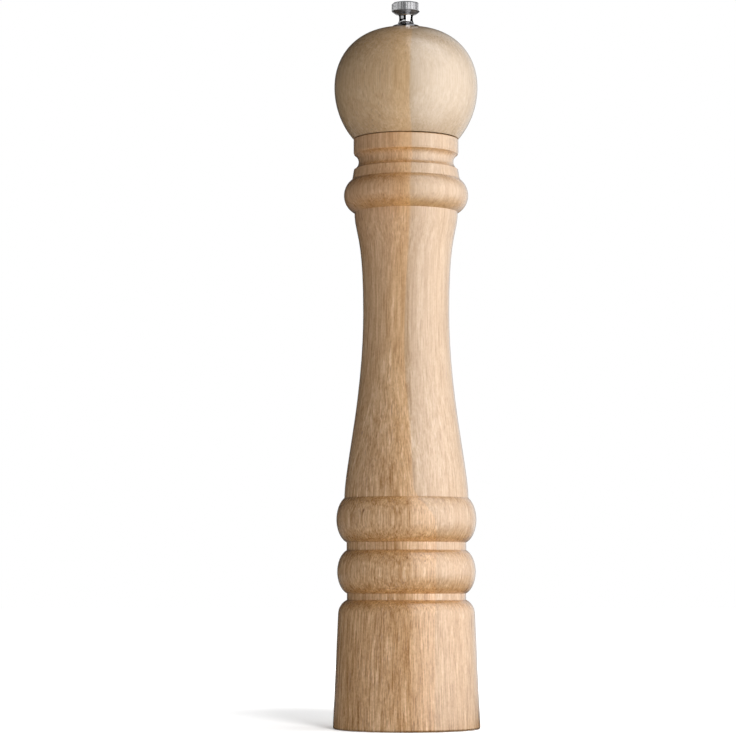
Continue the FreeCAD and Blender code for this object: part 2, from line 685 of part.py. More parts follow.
def stator_ring():
    """The outer burr: a funnel with cracking flutes down to the throat, and a fine toothed cone below it."""
    slope = math.tan(math.radians(GRIND_ANGLE))
    rotor_throat_r = ROTOR_DIAMETER / 2 - GRIND_HEIGHT * slope
    throat_r = rotor_throat_r + GRIND_GAP
    bottom_r = throat_r + (throat_z - stator_z) * slope
    mouth_radius = STATOR_MOUTH_DIAMETER / 2
    outline = Outline(bottom_r, stator_z)
    outline.line(stator_r, stator_z)
    outline.line(stator_r, stator_top_z)
    outline.line(mouth_radius, stator_top_z)
    outline.line(throat_r, throat_z)
    fine_width = math.pi * throat_r / FINE_TEETH
    fine = tooth_gap(
        (bottom_r, stator_z), (throat_r, throat_z), -FINE_TOOTH_DEPTH, fine_width, -FINE_TOOTH_TWIST
    )
    flute_width = math.pi * throat_r / STATOR_FLUTES
    flute = tooth_gap(
        (throat_r, throat_z),
        (mouth_radius, stator_top_z),
        -STATOR_FLUTE_DEPTH,
        flute_width,
        STATOR_FLUTE_TWIST,
    )
    return outline.turned().cut(around(fine, FINE_TEETH) + around(flute, STATOR_FLUTES))


def mechanism_housing():
    """The moulded cup that carries the stator: a flange in the recess and a lip that the stator seats on."""
    lip_z = stator_top_z + SEAT_GAP
    lip_top_z = lip_z + STATOR_LIP_HEIGHT
    lip_r = housing_bore_r - STATOR_LIP
    groove_r = housing_bore_r + CLIP_GROOVE_DEPTH
    outline = Outline(housing_bore_r, flange_z)
    outline.line(flange_r, flange_z)
    outline.line(flange_r, RECESS_DEPTH, corner=SEAM_EDGE_ROUND)
    outline.line(housing_r, RECESS_DEPTH)
    outline.line(housing_r, housing_top_z)
    outline.line(housing_bore_r, housing_top_z)
    outline.line(housing_bore_r, lip_top_z)
    outline.line(lip_r, lip_top_z)
    outline.line(lip_r, lip_z)
    outline.line(housing_bore_r, lip_z)
    outline.line(housing_bore_r, clip_z + CLIP_THICKNESS + SEAT_GAP)
    outline.line(groove_r, clip_z + CLIP_THICKNESS + SEAT_GAP)
    outline.line(groove_r, clip_z - SEAT_GAP)
    outline.line(housing_bore_r, clip_z - SEAT_GAP)
    hole_r = HOUSING_SCREW_DIAMETER / 2 + SCREW_FIT
    hole = Part.makeCylinder(hole_r, FLANGE_THICKNESS, at(housing_screw_circle(), flange_z))
    return outline.turned().cut(around(hole, HOUSING_SCREW_COUNT))


def housing_screws():
    """The wood screws that hold the housing's flange up in the recess."""
    screw = slotted_screw(
        HOUSING_SCREW_DIAMETER,
        HOUSING_SCREW_LENGTH,
        HOUSING_SCREW_HEAD_DIAMETER,
        HOUSING_SCREW_HEAD_HEIGHT,
        flange_z,
        housing_screw_circle(),
    )
    return Part.makeCompound(around(screw, HOUSING_SCREW_COUNT))


def stator_clip():
    """The open spring ring in the housing's groove, under the stator."""
    outer_r = housing_bore_r + CLIP_GROOVE_DEPTH - SEAT_GAP
    inner_r = housing_bore_r - CLIP_WIDTH
    outline = Outline(inner_r, clip_z)
    outline.line(outer_r, clip_z).line(outer_r, clip_z + CLIP_THICKNESS).line(inner_r, clip_z + CLIP_THICKNESS)
    opening = Part.makeCylinder(
        2 * outer_r, CLIP_THICKNESS, at(0, clip_z), FreeCAD.Vector(0, 0, 1), CLIP_OPENING
    )
    return outline.turned().cut(opening)


def rotor_washer():
    """The washer that the rotor rests on."""
    hole_r = ROTOR_SCREW_DIAMETER / 2 + SCREW_FIT
    return ring(hole_r, ROTOR_WASHER_DIAMETER / 2, rotor_z - ROTOR_WASHER_THICKNESS, rotor_z)


def rotor_screw():
    """The screw up into the shaft's foot, which holds the washer and the rotor on it."""
    return slotted_screw(
        ROTOR_SCREW_DIAMETER,
        ROTOR_SCREW_LENGTH,
        ROTOR_SCREW_HEAD_DIAMETER,
        ROTOR_SCREW_HEAD_HEIGHT,
        rotor_z - ROTOR_WASHER_THICKNESS,
        0,
    )


def bridge():
    """The spider over the housing: a rim on the housing's wall, spokes, and a hub that guides the bush."""
    hub_r = bridge_hub_bore_r + BRIDGE_HUB_WALL
    rim = ring(housing_bore_r, housing_r, housing_top_z, bridge_top_z)
    hub = disc(hub_r, housing_top_z, hub_top_z)
    reach = (housing_bore_r + housing_r) / 2
    spoke = Part.makeBox(
        reach, BRIDGE_SPOKE_WIDTH, BRIDGE_THICKNESS, FreeCAD.Vector(0, -BRIDGE_SPOKE_WIDTH / 2, housing_top_z)
    )
    spider = rim.fuse([hub] + around(spoke, BRIDGE_SPOKES))
    return spider.removeSplitter().cut(disc(bridge_hub_bore_r, housing_top_z, hub_top_z))


def guide_bush():
    """The bush that turns in the bridge's hub and lets the square shaft slide through it."""
    outline = Outline(0, guide_flange_z)
    outline.line(guide_flange_r, guide_flange_z)
    outline.line(guide_flange_r, guide_flange_top_z)
    outline.line(guide_bush_r, guide_flange_top_z)
    outline.line(guide_bush_r, guide_bush_top_z)
    outline.line(0, guide_bush_top_z)
    hole = square_bar(SHAFT_SIDE + 2 * SLIDE_FIT, SHAFT_CORNER_CUT, guide_flange_z, guide_bush_top_z)
    return outline.turned().cut(hole)


def spring_cup():
    """The rimmed cup on the rotor that the spring stands in."""
    rim_inner_r = spring_r + SPRING_WIRE / 2 + SLIDE_FIT
    floor_r = rim_inner_r + SPRING_CUP_RIM
    outline = Outline(0, spring_cup_z)
    outline.line(floor_r, spring_cup_z)
    outline.line(floor_r, spring_bottom_z + SPRING_CUP_RIM_HEIGHT)
    outline.line(rim_inner_r, spring_bottom_z + SPRING_CUP_RIM_HEIGHT)
    outline.line(rim_inner_r, spring_bottom_z)
    outline.line(0, spring_bottom_z)
    hole = square_bar(SHAFT_SIDE + 2 * SEAT_GAP, SHAFT_CORNER_CUT, spring_cup_z, spring_bottom_z)
    return outline.turned().cut(hole)


def spring():
    """The coil spring that pushes the rotor down, wound as quarter turns of a steady helix."""
    bottom = spring_bottom_z + SPRING_WIRE / 2 + SEAT_GAP
    top = guide_flange_z - SPRING_WIRE / 2 - SEAT_GAP
    pitch = (top - bottom) / SPRING_TURNS
    path, start, way = helix(spring_r, bottom, pitch, 4 * SPRING_TURNS)
    section = Part.Wire(Part.Circle(start, way, SPRING_WIRE / 2).toShape())
    print("spring: gap between turns %.2f" % (pitch - SPRING_WIRE))
    return path.makePipeShell([section], True, False)


def shaft_clip():
    """The open clip on the shaft, which stops the shaft from dropping out when the knob is off."""
    clip_r = SHAFT_CLIP_DIAMETER / 2
    hole_r = SHAFT_CLIP_GROOVE_DIAMETER / 2 + SEAT_GAP
    top = shaft_clip_z + SHAFT_CLIP_THICKNESS
    slot = Part.makeBox(
        clip_r,
        SHAFT_CLIP_SLOT,
        SHAFT_CLIP_THICKNESS,
        FreeCAD.Vector(0, -SHAFT_CLIP_SLOT / 2, shaft_clip_z),
    )
    return ring(hole_r, clip_r, shaft_clip_z, top).cut(slot)


NODES = (
    body,
    head,
    head_bush,
    knob_washer,
    knob,
    drive_plate,
    drive_plate_screws,
    drive_shaft,
    shaft_clip,
    guide_bush,
    spring,
    spring_cup,
    rotor,
    rotor_washer,
    rotor_screw,
    stator_ring,
    stator_clip,
    bridge,
    mechanism_housing,
    housing_screws,
)

os.makedirs("parts", exist_ok=True)
for node in NODES:
    shape = node()
    solids = shape.Solids
    print("%-20s solids %d valid %s volume %.1f" % (node.__name__, len(solids), shape.isValid(), shape.Volume))
    shape.exportStep("parts/%s.step" % node.__name__)
print("body %.2f, equator %.2f, head top %.2f, knob %.2f" % (body_top_z, equator_z, head_top_z, knob_z))
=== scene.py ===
import json
import math

import bpy
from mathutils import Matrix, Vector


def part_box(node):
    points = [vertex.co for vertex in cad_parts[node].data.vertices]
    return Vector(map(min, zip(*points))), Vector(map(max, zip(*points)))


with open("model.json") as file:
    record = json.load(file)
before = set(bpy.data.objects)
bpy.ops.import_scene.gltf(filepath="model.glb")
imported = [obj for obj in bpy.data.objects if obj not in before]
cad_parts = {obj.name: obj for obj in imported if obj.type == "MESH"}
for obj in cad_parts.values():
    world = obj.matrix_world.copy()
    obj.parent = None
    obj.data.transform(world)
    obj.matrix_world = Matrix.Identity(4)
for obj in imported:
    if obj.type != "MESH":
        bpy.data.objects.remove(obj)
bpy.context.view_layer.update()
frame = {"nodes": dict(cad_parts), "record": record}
nodes = frame["nodes"]

MM = 0.001
WHITE = (1.0, 1.0, 1.0, 1.0)
BODY_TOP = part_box("body")[1][2]
BUSH_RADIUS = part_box("head_bush")[1][0]
KNOB_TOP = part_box("knob")[1][2]
KNOB_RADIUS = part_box("knob")[1][0]


# Small helpers

def srgb(r, g, b):
    """A linear colour from 0 to 255 display values."""
    def one(v):
        v /= 255.0
        return v / 12.92 if v <= 0.04045 else ((v + 0.055) / 1.055) ** 2.4
    return (one(r), one(g), one(b), 1.0)


def even(count):
    """The same number of features per metre along each axis."""
    return (count, count, count)


class Graph:
    """A node tree with short names for the nodes that the materials share."""

    # the places of the colour sockets on a Mix node
    COLOUR_A = 6
    COLOUR_B = 7
    COLOUR_RESULT = 2

    def __init__(self, owner, output="OutputMaterial"):
        owner.use_nodes = True
        self.owner = owner
        self.tree = owner.node_tree
        self.tree.nodes.clear()
        self.out = self.node(output).inputs["Surface"]

    def node(self, kind, **attributes):
        node = self.tree.nodes.new("ShaderNode" + kind)
        for key, value in attributes.items():
            setattr(node, key, value)
        return node

    def put(self, socket, value):
        """Links a node's output to the socket, or sets the socket to a plain value."""
        if isinstance(value, bpy.types.NodeSocket):
            self.tree.links.new(value, socket)
        else:
            socket.default_value = value

    def place(self):
        """The point's place in the frame, in metres, which moves with its object."""
        return self.node("TexCoord").outputs["Object"]

    def normal_z(self):
        """How far the surface faces up: 1 for up, -1 for down."""
        return self.split(self.node("NewGeometry").outputs["Normal"])[2]

    def seen(self):
        """1 for rays from the camera, and for mirrored and transmitted ones."""
        path = self.node("LightPath").outputs
        shown = self.calc("MAXIMUM", path["Is Camera Ray"], path["Is Glossy Ray"])
        return self.calc("MAXIMUM", shown, path["Is Transmission Ray"])

    def split(self, vector):
        node = self.node("SeparateXYZ")
        self.put(node.inputs[0], vector)
        return node.outputs

    def join(self, x, y, z):
        node = self.node("CombineXYZ")
        for socket, value in zip(node.inputs, (x, y, z)):
            self.put(socket, value)
        return node.outputs[0]

    def calc(self, operation, a, b=0.0, c=0.0, clamp=False):
        node = self.node("Math", operation=operation, use_clamp=clamp)
        for socket, value in zip(node.inputs, (a, b, c)):
            self.put(socket, value)
        return node.outputs[0]

    def times(self, a, b, clamp=False):
        return self.calc("MULTIPLY", a, b, clamp=clamp)

    def add(self, base, value, share, clamp=False):
        """A share of a value on top of another."""
        return self.calc("MULTIPLY_ADD", value, share, base, clamp)

    def hypot(self, a, b):
        return self.calc("SQRT", self.calc("ADD", self.times(a, a), self.times(b, b)))

    def vec(self, operation, a, b):
        node = self.node("VectorMath", operation=operation)
        self.put(node.inputs[0], a)
        self.put(node.inputs[1], b)
        return node.outputs[0]

    def turned(self, vector, degrees):
        node = self.node("VectorRotate", rotation_type="Z_AXIS")
        self.put(node.inputs["Vector"], vector)
        self.put(node.inputs["Angle"], math.radians(degrees))
        return node.outputs[0]

    def noise(self, vector, scale, detail, rough=0.5):
        """Noise of about the given number of features per metre along each axis."""
        node = self.node("TexNoise")
        self.put(node.inputs["Vector"], self.vec("MULTIPLY", vector, scale))
        self.put(node.inputs["Scale"], 1.0)
        self.put(node.inputs["Detail"], detail)
        self.put(node.inputs["Roughness"], rough)
        return node.outputs["Fac"]

    def noise_along(self, value, scale, detail=1.0, rough=0.5):
        """Noise along one length, of about the given number of features per metre."""
        node = self.node("TexNoise", noise_dimensions="1D")
        self.put(node.inputs["W"], self.times(value, scale))
        self.put(node.inputs["Scale"], 1.0)
        self.put(node.inputs["Detail"], detail)
        self.put(node.inputs["Roughness"], rough)
        return node.outputs["Fac"]

    def about_zero(self, noise):
        return self.calc("SUBTRACT", noise, 0.5)

    def span(self, value, low, high_left_shade, to_low=0.0, to_high=1.0, kind="SMOOTHSTEP"):
        """A soft ramp: to_low up to the lower limit, to_high from the upper one on."""
        node = self.node("MapRange", interpolation_type=kind)
        self.put(node.inputs["Value"], value)
        self.put(node.inputs["From Min"], low)
        self.put(node.inputs["From Max"], high_left_shade)
        self.put(node.inputs["To Min"], to_low)
        self.put(node.inputs["To Max"], to_high)
        return node.outputs["Result"]

    def line(self, value, low, high_left_shade, to_low, to_high):
        """A straight ramp."""
        return self.span(value, low, high_left_shade, to_low, to_high, "LINEAR")

    def mix(self, factor, a, b, blend="MIX"):
        node = self.node("Mix", data_type="RGBA", blend_type=blend)
        self.put(node.inputs["Factor"], factor)
        self.put(node.inputs[self.COLOUR_A], a)
        self.put(node.inputs[self.COLOUR_B], b)
        return node.outputs[self.COLOUR_RESULT]

    def tint(self, mask, colour, by):
        """A colour that is multiplied by another where the mask is 1."""
        return self.mix(mask, colour, self.mix(1.0, colour, by, "MULTIPLY"))

    def shade(self, colour, value):
        """A colour times a grey value."""
        return self.vec("MULTIPLY", colour, self.join(value, value, value))

    def bump(self, height, depth, strength):
        node = self.node("Bump")
        self.put(node.inputs["Strength"], strength)
        self.put(node.inputs["Distance"], depth)
        self.put(node.inputs["Height"], height)
        return node.outputs[0]

    def light(self, kind, strength):
        """White light from an Emission or a Background shader."""
        node = self.node(kind)
        self.put(node.inputs["Color"], WHITE)
        self.put(node.inputs["Strength"], strength)
        return node.outputs[0]

    def surface(self, **values):
        """Ends the tree in a Principled shader and gives the material."""
        node = self.node("BsdfPrincipled")
        for key, value in values.items():
            self.put(node.inputs[key.replace("_", " ")], value)
        self.put(self.out, node.outputs[0])
        return self.owner


# Wood: noise, as features per metre across, through and along the fibres, detail and roughness

SWAY = ((26, 26, 7), 2.0)
WAVER = ((230, 230, 42), 3.0, 0.6)
BROAD = ((40, 40, 3.2), 2.0)
FIBRE = ((620, 760, 26), 3.0, 0.65)
STRAND = ((240, 400, 13), 2.0, 0.55)
HAIR = ((1400, 1500, 170), 2.0, 0.6)
THREAD = ((1550, 1650, 24), 2.0, 0.6)
MOTTLE = ((1000, 1000, 800), 2.0, 0.6)
PATCH = ((60, 60, 14), 2.0)
VESSEL = ((1350, 1350, 170), 2.0)
SPECK = ((1900, 1900, 300), 1.0)
MARK = ((820, 820, 62), 1.0)
DUST = (even(700), 3.0, 0.7)

# Wood: the rings' detail and roughness, the tool's lines per metre, and what sets specks and marks apart

RING_DETAIL = (2.0, 0.55)
TOOL_LINES = 2600.0
SPECK_SHIFT = (0.7, 0.3, 0.9)
MARK_SHIFT = (0.2, 0.6, 0.4)

# Wood: how far behind the pith lies, and how far sway and waver carry the layers, fibres and the painted
# lit band

PITH_BEHIND = 110 * MM
LAYER_SWAY = 6.5 * MM
LAYER_WAVER = 3.4 * MM
FIBRE_SWAY = 10 * MM
FIBRE_WAVER = 2 * MM
LIT_BAND_SWAY = 8 * MM

# Wood: ramps over a noise, as the limits and the values there

RING_EDGE = (0.32, 0.70)
GOLDEN_PATCHES = (0.42, 0.68, 0.0, 0.45)
PATCH_DARKNESS = (0.36, 0.64, 0.30, 1.0)
VESSEL_DARKNESS = (0.54, 0.68)
SPECK_DARKNESS = (0.58, 0.70, 0.0, 0.7)
MARK_DARKNESS = (0.68, 0.76, 0.0, 1.6)
RAW_TONE_AND_LIFT = (0.7, 1.3, 0.92, 1.2)
FIBRE_SHEEN = (0.25, 0.75, 0.19, 0.26)

# Wood: ramps over a place or a slope, as the limits and the values there

# where the painted lit band steps, leans, has its edges and fades towards the foot
LIT_BAND_STEP = (98 * MM, 116 * MM, 11 * MM, 0.0)
LEAN_FROM = (130 * MM, 185 * MM, 0.0, 2.4 * MM)
LEAN_UNTIL = (195 * MM, 255 * MM, 1.0, 0.0)
LIT_BAND_LEFT = (-9 * MM, -3 * MM)
LIT_BAND_RIGHT = (1.6 * MM, 3.0 * MM)
LIT_BAND_FADE = (40 * MM, 160 * MM)
COARSE_BY_HEIGHT = (20 * MM, 250 * MM, 2.0, 1.0)
COARSE_BY_SIDE = (-4 * MM, 6 * MM, 1.12, 0.84)
LOW_PART = (30 * MM, 130 * MM, 1.0, 0.0)
# where painted shade darkens the top of the block on the left
HIGH_SHADE_PART = (200 * MM, 262 * MM)
HIGH_SHADE_SIDE = (-6 * MM, 4 * MM, 1.0, 0.0)
SLOPE = (0.10, 0.80)
LEFT_FLANK_SHADE = (-28 * MM, -6 * MM, 1.0, 0.0)
FOOT_CONTACT_SHADE = (0.2 * MM, 1.5 * MM, 0.55, 0.0)
NOT_UNDERSIDE = (-0.995, -0.96)

# Wood: the painted lit band's tint, the painted shade on its right and their shares at the foot, the
# streaks, the sheen and the relief

LIT_BAND_TINT = (1.06, 1.045, 1.0, 1.0)
RIGHT_SHADE_TINT = (0.825, 0.897, 1.005, 1.0)
LIT_BAND_AT_FOOT = 0.35
RIGHT_SHADE_AT_FOOT = 0.60
FIBRE_WEIGHT = 3.3
STRAND_WEIGHT = 2.3
HAIR_WEIGHT = 1.7
THREAD_WEIGHT = 6.0
MOTTLE_WEIGHT = 2.2
STREAK_LEAST = 0.3
STREAK_GREEN = 1.35
STREAK_BLUE = 1.9
VESSEL_ROUGHNESS = 0.10
SLOPE_ROUGHNESS = 0.06
RAW_ROUGHNESS = 0.45
HAIR_RELIEF = 0.35
TOOL_RELIEF = 0.8
WOOD_RELIEF = 0.04 * MM
WOOD_BUMP = 0.5
WOOD_IOR = 1.5
LACQUER_ROUGHNESS = 0.17


def growth_rings(g, grown, sway, waver, spacing):
    """Bands by the distance from the pith, which lies behind the mill."""
    grown_x, grown_y = g.split(grown)[:2]
    depth = g.hypot(grown_x, g.calc("SUBTRACT", grown_y, PITH_BEHIND))
    depth = g.add(depth, sway, LAYER_SWAY)
    depth = g.add(depth, waver, LAYER_WAVER)
    return g.span(g.noise_along(depth, 1.0 / spacing, *RING_DETAIL), *RING_EDGE)


def along_fibres(g, lot, sway, waver):
    """Coordinates that wander with the fibres."""
    x, y, z = g.split(lot)
    return g.join(g.add(x, sway, FIBRE_SWAY), g.add(y, waver, FIBRE_WAVER), z)


def across_lit_band(g, x, z, sway):
    """The painted lit band's own x: it leans to the left at the waist and steps to the right below the
    column, following where the soft box's sheen begins on the wood.
    """
    across = g.add(x, sway, LIT_BAND_SWAY)
    across = g.calc("SUBTRACT", across, g.span(z, *LIT_BAND_STEP))
    lean = g.times(g.span(z, *LEAN_FROM), g.span(z, *LEAN_UNTIL))
    return g.calc("ADD", across, lean)


def lit_band_and_shade(g, tone, across, z, lit_band_strength):
    """Painted light and shade: a golden lit band up the middle, and greyer, darker wood on its right,
    where the soft box's sheen begins.
    """
    lit_band = g.times(g.span(across, *LIT_BAND_LEFT), g.span(across, *LIT_BAND_RIGHT, 1.0, 0.0))
    lit_band_share = g.span(z, *LIT_BAND_FADE, LIT_BAND_AT_FOOT * lit_band_strength, lit_band_strength)
    tone = g.tint(g.times(lit_band, lit_band_share), tone, LIT_BAND_TINT)
    right_shade_share = g.span(z, *LIT_BAND_FADE, RIGHT_SHADE_AT_FOOT * lit_band_strength, lit_band_strength)
    return g.tint(g.times(g.span(across, *LIT_BAND_RIGHT), right_shade_share), tone, RIGHT_SHADE_TINT)


def streaked(g, tone, layers, streaks, coarse):
    """Streaks of all widths, which change the blue most and the red least."""
    streak = 0.0
    for layer, weight in layers:
        streak = g.add(streak, g.about_zero(layer), weight * streaks)
    streak = g.calc("MAXIMUM", g.add(1.0, streak, coarse), STREAK_LEAST)
    green = g.calc("POWER", streak, STREAK_GREEN)
    blue = g.calc("POWER", streak, STREAK_BLUE)
    return g.vec("MULTIPLY", tone, g.join(streak, green, blue))


def vessels(g, lot, flow, coarse, flecks):
    """Short upright tubes, which show as dashes on the sides and as dots on the slopes."""
    patch = g.span(g.noise(lot, *PATCH), *PATCH_DARKNESS)
    vessel = g.span(g.noise(flow, *VESSEL), *VESSEL_DARKNESS)
    speck = g.span(g.noise(g.vec("ADD", flow, SPECK_SHIFT), *SPECK), *SPECK_DARKNESS)
    mark = g.span(g.noise(g.vec("ADD", flow, MARK_SHIFT), *MARK), *MARK_DARKNESS)
    dark = g.calc("ADD", g.calc("MAXIMUM", vessel, speck), mark)
    return g.times(g.times(dark, patch), g.times(coarse, flecks), clamp=True)


def wood(name, pale, deep, golden, pore, end_grain_and_shade_tone, left_flank_shade_tone, low_tone, high_left_shade_tone,
         facing, ring_spacing, ring_share, streaks, flecks, lit_band_strength, coat_ior, seed, raw):
    """Lacquered wood cut from one block. Facing is the azimuth, from the viewer's side towards +X, that
    the growth layers face. Lit band strength is how strongly the painted lit band up the middle, and the
    painted shade on its right, show."""
    g = Graph(bpy.data.materials.new(name))
    place = g.place()
    x, y, z = g.split(place)
    normal_z = g.normal_z()
    grown = g.turned(place, -facing)
    lot = g.vec("ADD", grown, seed)
    sway = g.about_zero(g.noise(lot, *SWAY))
    waver = g.about_zero(g.noise(lot, *WAVER))
    flow = along_fibres(g, lot, sway, waver)
    across = across_lit_band(g, x, z, sway)
    fibre = g.noise(flow, *FIBRE)
    hair = g.noise(flow, *HAIR)
    # growth layers, broad golden patches, and the painted lit band with painted shade on its right
    rings = growth_rings(g, grown, sway, waver, ring_spacing)
    tone = g.mix(g.times(rings, ring_share), pale, deep)
    tone = g.mix(g.span(g.noise(flow, *BROAD), *GOLDEN_PATCHES), tone, golden)
    tone = lit_band_and_shade(g, tone, across, z, lit_band_strength)
    # streaks and vessels, bolder towards the foot and on the left
    coarse = g.times(g.line(z, *COARSE_BY_HEIGHT), g.span(across, *COARSE_BY_SIDE))
    layers = (
        (fibre, FIBRE_WEIGHT),
        (g.noise(flow, *STRAND), STRAND_WEIGHT),
        (hair, HAIR_WEIGHT),
        (g.noise(flow, *THREAD), THREAD_WEIGHT),
        (g.noise(lot, *MOTTLE), MOTTLE_WEIGHT),
    )
    tone = streaked(g, tone, layers, streaks, coarse)
    dark = vessels(g, lot, flow, coarse, flecks)
    tone = g.mix(dark, tone, pore)
    # the block is warmer towards its foot; at the top on the left it is browner and darker, as painted
    # shade
    tone = g.tint(g.span(z, *LOW_PART), tone, low_tone)
    high_left_shade = g.times(g.span(z, *HIGH_SHADE_PART), g.span(x, *HIGH_SHADE_SIDE))
    tone = g.tint(high_left_shade, tone, high_left_shade_tone)
    # slopes cut across the fibres and drink more lacquer, and are also darkened as painted shade
    end_grain_and_shade = g.span(g.calc("ABSOLUTE", normal_z), *SLOPE)
    tone = g.tint(end_grain_and_shade, tone, end_grain_and_shade_tone)
    # painted shade: slopes on the left flank are darker still
    tone = g.tint(g.times(end_grain_and_shade, g.span(x, *LEFT_FLANK_SHADE)), tone, left_flank_shade_tone)
    # painted contact shadow: the foot's rounded edge is darkened, its flat underside not
    contact_shade = g.times(g.span(z, *FOOT_CONTACT_SHADE), g.span(normal_z, *NOT_UNDERSIDE))
    tone = g.shade(tone, g.calc("SUBTRACT", 1.0, contact_shade))
    # bored and hidden faces are left dull from the tool, with tool lines and dust, and their tone is
    # lifted a little as painted light in these shaded faces
    bare = raw(g, g.hypot(x, y), z)
    turning = g.noise_along(z, TOOL_LINES)
    scuffed = g.calc("ADD", turning, g.noise(place, *DUST))
    tone = g.mix(bare, tone, g.shade(tone, g.line(scuffed, *RAW_TONE_AND_LIFT)))
    sheen = g.add(g.line(fibre, *FIBRE_SHEEN), dark, VESSEL_ROUGHNESS)
    sheen = g.add(sheen, end_grain_and_shade, SLOPE_ROUGHNESS)
    sheen = g.add(sheen, bare, RAW_ROUGHNESS, clamp=True)
    relief = g.calc("SUBTRACT", g.times(hair, HAIR_RELIEF), dark)
    relief = g.add(relief, g.times(turning, bare), TOOL_RELIEF)
    return g.surface(
        Base_Color=tone,
        Roughness=sheen,
        Normal=g.bump(relief, WOOD_RELIEF, WOOD_BUMP),
        IOR=WOOD_IOR,
        Coat_Weight=1.0,
        Coat_Roughness=LACQUER_ROUGHNESS,
        Coat_IOR=coat_ior,
    )


# Where the wood is left raw, with a little to spare round each bore and face

BODY_BORE_RADIUS = 20.6 * MM
RECESS_RADIUS = 28.5 * MM
RECESS_HEIGHT = 10.1 * MM
HEAD_BORE_RADIUS = BUSH_RADIUS + 0.1 * MM
HEAD_UNDERSIDE = BODY_TOP + 0.43 * MM


def body_raw(g, radius, z):
    bore = g.calc("LESS_THAN", radius, BODY_BORE_RADIUS)
    low = g.calc("LESS_THAN", z, RECESS_HEIGHT)
    recess = g.times(low, g.calc("LESS_THAN", radius, RECESS_RADIUS))
    return g.calc("MAXIMUM", bore, recess)


def head_raw(g, radius, z):
    bore = g.calc("LESS_THAN", radius, HEAD_BORE_RADIUS)
    return g.calc("MAXIMUM", bore, g.calc("LESS_THAN", z, HEAD_UNDERSIDE))


body_wood = wood(
    "body_wood",
    pale=srgb(217, 178, 137),
    deep=srgb(191, 146, 103),
    golden=srgb(209, 165, 117),
    pore=srgb(138, 92, 56),
    end_grain_and_shade_tone=(0.87, 0.756, 0.548, 1.0),
    left_flank_shade_tone=WHITE,
    low_tone=(1.0, 0.955, 0.885, 1.0),
    high_left_shade_tone=(0.97, 0.925, 0.92, 1.0),
    facing=-27.0,
    ring_spacing=2.4 * MM,
    ring_share=0.40,
    streaks=0.115,
    flecks=0.24,
    lit_band_strength=0.85,
    coat_ior=1.5,
    seed=(0.31, 0.12, 0.07),
    raw=body_raw,
)
head_wood = wood(
    "head_wood",
    pale=srgb(211, 178, 140),
    deep=srgb(196, 162, 122),
    golden=srgb(203, 169, 125),
    pore=srgb(148, 115, 81),
    end_grain_and_shade_tone=(0.92, 0.89, 0.83, 1.0),
    left_flank_shade_tone=(0.91, 0.89, 0.86, 1.0),
    low_tone=WHITE,
    high_left_shade_tone=WHITE,
    facing=-10.0,
    ring_spacing=3.4 * MM,
    ring_share=0.30,
    streaks=0.080,
    flecks=0.28,
    lit_band_strength=0.90,
    coat_ior=1.68,
    seed=(0.83, 0.44, 0.19),
    raw=head_raw,
)


# Metals: noise as for wood, and ramps as the limits and the values there

FINISH_BUMP = 0.4
MIDDLE = (0.25, 0.75)
TWO_TONES = (0.35, 0.65, 0.0, 0.6)
METAL_CLOUD = (even(180), 3.0, 0.55)
METAL_DETAIL = (3.0, 0.6)
METAL_LINES = (*MIDDLE, 0.92, 1.05)
METAL_CLOUD_SHARE = 0.5
METAL_SHEEN = (0.5, 1.0)


def metal(name, colour, other, rough, spread, lines, relief):
    """Worked metal in two tones. Lines gives the number of tool marks per metre along each axis."""
    g = Graph(bpy.data.materials.new(name))
    place = g.place()
    marks = g.noise(place, lines, *METAL_DETAIL)
    cloud = g.noise(place, *METAL_CLOUD)
    tone = g.mix(g.span(cloud, *TWO_TONES), colour, other)
    tone = g.shade(tone, g.line(marks, *METAL_LINES))
    sheen = g.add(marks, cloud, METAL_CLOUD_SHARE)
    return g.surface(
        Base_Color=tone,
        Metallic=1.0,
        Roughness=g.line(sheen, *METAL_SHEEN, rough - spread, rough + spread),
        Normal=g.bump(marks, relief, FINISH_BUMP),
    )


# Chrome: noise as for wood, and ramps over the knob's places and slopes

CHROME_CLOUD = (even(260), 3.0, 0.55)
CHROME_FINE = (even(2400), 3.0, 0.6)
UPRIGHT_FACE = (0.25, 0.60, 1.0, 0.0)
RIM_START = (KNOB_RADIUS - 0.84 * MM, KNOB_RADIUS - 0.54 * MM)
KNURL_CREST = (KNOB_RADIUS - 0.263 * MM, KNOB_RADIUS - 0.043 * MM)
LIP_HEIGHT = (KNOB_TOP - 1.12 * MM, KNOB_TOP - 0.82 * MM)
LIP_START = (KNOB_RADIUS - 0.94 * MM, KNOB_RADIUS - 0.64 * MM)
LIP_SLOPE = (0.90, 0.98, 0.8, 0.0)
UNDERSIDE = (-0.75, -0.35, 1.0, 0.0)
POLISH = (*MIDDLE, 0.05, 0.10)
RIM_ROUGHNESS = 0.12
UNDERSIDE_ROUGHNESS = 0.15
UNDERSIDE_METALLIC = -0.45
CHROME_RELIEF = 0.003 * MM


